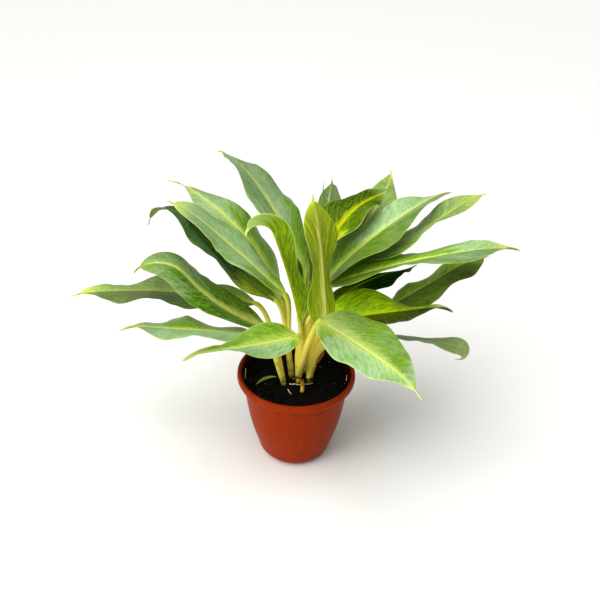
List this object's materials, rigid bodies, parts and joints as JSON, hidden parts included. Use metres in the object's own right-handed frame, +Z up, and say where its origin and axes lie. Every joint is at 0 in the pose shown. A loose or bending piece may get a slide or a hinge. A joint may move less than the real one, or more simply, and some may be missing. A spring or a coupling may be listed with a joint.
{
  "type": "potted green ghost chinese evergreen",
  "caption": "House plant with long, waved, silvery green lance-shaped leaves on pale petioles, growing from dark soil in a tapered terracotta-orange plastic pot that stands on its flat base.",
  "frame": {"origin": "centre of the pot's flat base, on the surface it stands on", "axes": "+Z up along the pot's axis, -Y towards the plant's front, +X to the right seen from the front"},
  "size_m": [0.4712, 0.3219, 0.317],
  "materials": {
    "pot_plastic": "satin",
    "soil": "matte",
    "petiole": "satin",
    "leaf": "satin",
    "root": "matte"
  },
  "bodies": {
    "root": {"pot": "pot_plastic", "soil": "soil", "surface_root": "root", "torn_leaf": "leaf", "shoot_left": "petiole", "shoot_middle_left": "petiole", "shoot_centre": "petiole", "shoot_right": "petiole", "shoot_back": "petiole", "leaf_A": "leaf", "leaf_B": "leaf", "leaf_C": "leaf", "leaf_D": "leaf", "leaf_F": "leaf", "leaf_G": "leaf", "leaf_H": "leaf", "leaf_I": "leaf", "leaf_J": "leaf", "leaf_K": "leaf", "leaf_L": "leaf", "leaf_M": "leaf", "leaf_N": "leaf", "leaf_O": "leaf", "leaf_P": "leaf", "leaf_Q": "leaf", "leaf_R": "leaf", "leaf_S": "leaf", "leaf_T": "leaf", "leaf_U": "leaf", "leaf_W": "leaf"}
  },
  "joints": []
}
